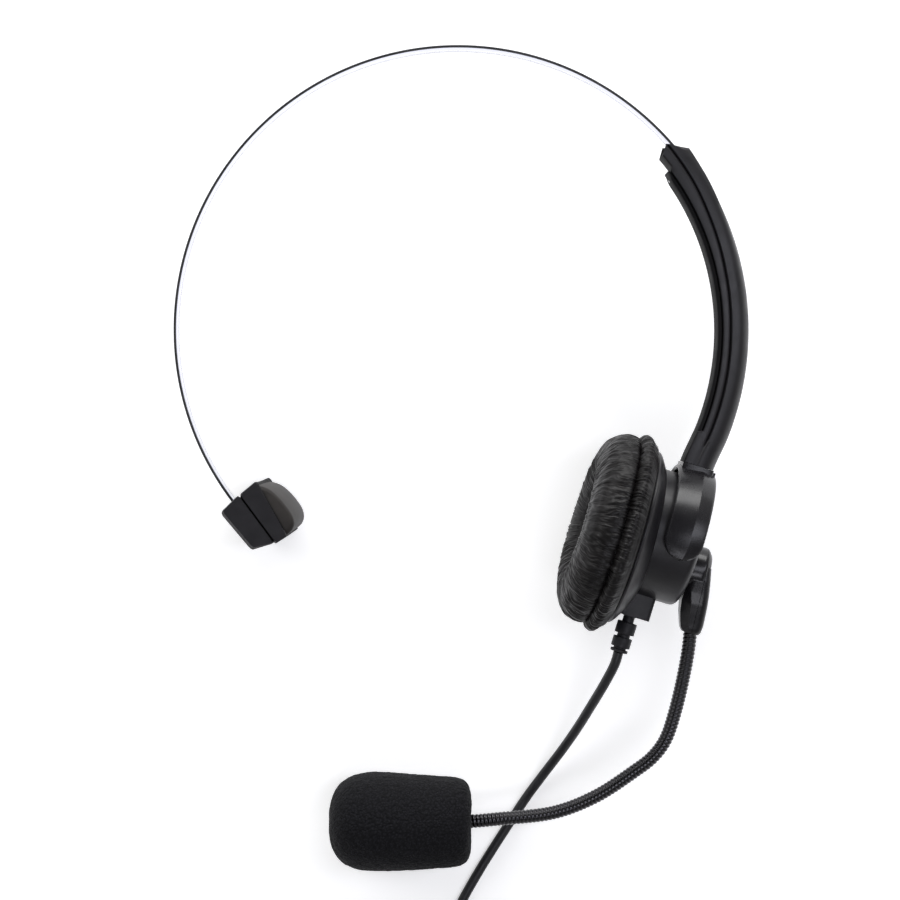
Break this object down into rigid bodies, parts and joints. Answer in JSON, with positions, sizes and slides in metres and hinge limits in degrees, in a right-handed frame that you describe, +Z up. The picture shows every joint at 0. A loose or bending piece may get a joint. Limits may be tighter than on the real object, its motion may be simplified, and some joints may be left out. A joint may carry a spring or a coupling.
{
  "type": "office headset",
  "caption": "Single-ear office headset with a sliding steel headband, temple rest, padded ear cup, microphone on a flexible boom and a corded modular plug.",
  "frame": {"origin": "centre of the headset's footprint on the table, without its cord", "axes": "+Y from the microphone towards the crown of the band, +X from the temple rest towards the ear cup, +Z up from the table that the headset lies on"},
  "size_m": [0.1575, 0.297, 0.0554],
  "materials": {
    "black_plastic": "satin moulded ABS with a fine texture",
    "polished_steel": "polished spring steel strip",
    "dark_steel": "plain dark steel",
    "black_chrome": "blackened steel hose, glossy",
    "grey_rubber": "matt brownish grey moulded rubber",
    "black_rubber": "matt black rubber",
    "leatherette": "soft gathered black leatherette, satin",
    "foam": "open-cell black foam",
    "speaker_film": "amber polymer film",
    "cord_jacket": "satin black cable jacket",
    "gold_contacts": "gold-plated",
    "plug_plastic": "clear grey polycarbonate"
  },
  "bodies": {
    "ear_cup": {"cup_shell": "black_plastic", "cup_baffle": "black_plastic", "speaker_diaphragm": "speaker_film", "speaker_frame": "dark_steel", "speaker_magnet": "dark_steel", "speaker_cloth": "foam", "ear_cushion": "leatherette", "strain_relief": "black_rubber", "cord": "cord_jacket", "cord_coil": "cord_jacket", "cord_tail": "cord_jacket", "cord_tie": "black_rubber", "plug_body": "plug_plastic", "plug_contact_1": "gold_contacts", "plug_contact_2": "gold_contacts", "plug_contact_3": "gold_contacts", "plug_contact_4": "gold_contacts"},
    "yoke": {"yoke": "black_plastic", "stem_clip": "dark_steel", "pivot_pin_upper": "dark_steel", "pivot_pin_lower": "dark_steel"},
    "arm": {"arm_shell": "black_plastic", "arm_cover": "black_plastic", "arm_screw_upper": "dark_steel", "arm_screw_lower": "dark_steel", "friction_spring": "dark_steel"},
    "band": {"headband": "polished_steel", "band_stop": "black_plastic", "rest_cover": "black_plastic", "rest_carrier": "black_plastic", "temple_pad": "grey_rubber"},
    "boom": {"boom_inner_shell": "black_plastic", "boom_outer_shell": "black_plastic", "boom_screw": "dark_steel", "boom_washer": "black_rubber", "gooseneck_upper": "black_chrome"},
    "microphone": {"gooseneck_lower": "black_chrome", "mic_housing": "black_plastic", "mic_capsule": "gold_contacts", "windscreen": "foam"},
    "plug_latch": {"plug_latch": "plug_plastic"}
  },
  "joints": [
    {"name": "cup_tilt", "type": "hinge", "parent": "ear_cup", "child": "yoke", "pos_m": [0.05787, -0.02061, 0.02706], "axis": [0.0434, -0.0133, 0.999], "range_deg": [-8, 8]},
    {"name": "arm_swivel", "type": "hinge", "parent": "yoke", "child": "arm", "pos_m": [0.06429, -0.00062, 0.02705], "axis": [0.2924, 0.9563, 0], "range_deg": [-12, 12]},
    {"name": "band_slide", "type": "hinge", "parent": "arm", "child": "band", "pos_m": [-0.00125, 0.03665, 0.02705], "axis": [0, 0, 1], "range_deg": [-8, 18]},
    {"name": "boom_turn", "type": "hinge", "parent": "ear_cup", "child": "boom", "pos_m": [0.06327, -0.0289, 0.02672], "axis": [-0.9553, 0.2921, 0.0454], "range_deg": [0, 150]},
    {"name": "gooseneck_bend", "type": "hinge", "parent": "boom", "child": "microphone", "pos_m": [0.0499, -0.0839, 0.0216], "axis": [0, 0, 1], "range_deg": [-30, 4]},
    {"name": "plug_latch_press", "type": "hinge", "parent": "ear_cup", "child": "plug_latch", "pos_m": [0.0544, -0.17915, 0.00382], "axis": [0, 0, -1], "range_deg": [0, 8], "stiffness_Nm_per_rad": 0.003}
  ]
}
